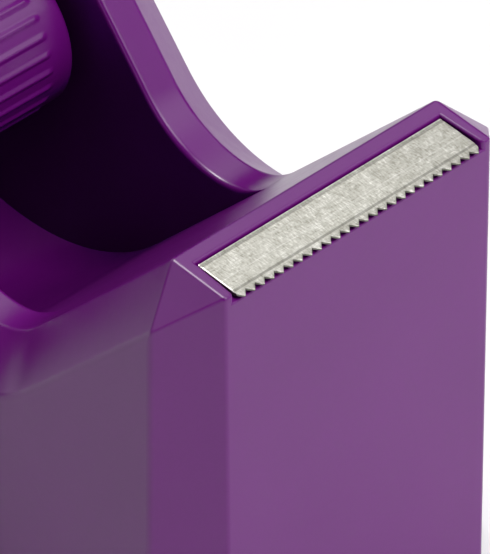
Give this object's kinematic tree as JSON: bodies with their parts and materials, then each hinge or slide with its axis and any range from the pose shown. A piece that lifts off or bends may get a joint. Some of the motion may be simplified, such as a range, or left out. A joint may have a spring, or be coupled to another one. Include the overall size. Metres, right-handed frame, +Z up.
{
  "type": "tape dispenser",
  "caption": "Desk tape dispenser with a gem-cut hollow body, serrated steel cutter, lift-out ribbed tape hub on a steel axle and a weighted non-slip base.",
  "frame": {"origin": "on the table, under the middle of the whole object", "axes": "+Z up, +X to the dispenser's right seen from the cutter's end looking back, -Y towards the cutter's flat front face, +Y towards the rear housing"},
  "size_m": [0.0518, 0.1146, 0.076],
  "materials": {
    "purple_plastic": "satin moulded, crisp edges with small fillets",
    "cutter_steel": "mottled cross-ground strip",
    "adhesive": "matte",
    "axle_steel": "drawn bar",
    "base_plastic": "matte moulded",
    "cast_iron": "as cast",
    "pad_foam": "closed-cell foam",
    "screw_steel": "zinc plated"
  },
  "bodies": {
    "base": {"body_shell": "purple_plastic", "cutter_blade": "cutter_steel", "cutter_adhesive": "adhesive", "base_plate": "base_plastic", "ballast_front": "cast_iron", "ballast_rear": "cast_iron", "non_slip_pad": "pad_foam", "base_screw_1": "screw_steel", "base_screw_2": "screw_steel", "base_screw_3": "screw_steel", "base_screw_4": "screw_steel", "ballast_screw_1": "screw_steel", "ballast_screw_2": "screw_steel", "ballast_screw_3": "screw_steel", "ballast_screw_4": "screw_steel"},
    "axle": {"hub_axle": "axle_steel"},
    "hub": {"hub_drum": "purple_plastic", "hub_cap": "purple_plastic"}
  },
  "joints": [
    {"name": "axle_lift", "type": "slide", "parent": "base", "child": "axle", "axis": [0, 0, 1], "range_m": [0, 0.045]},
    {"name": "hub_spin", "type": "hinge", "parent": "axle", "child": "hub", "pos_m": [0, 0.0128, 0.0441], "axis": [1, 0, 0], "continuous": true}
  ]
}
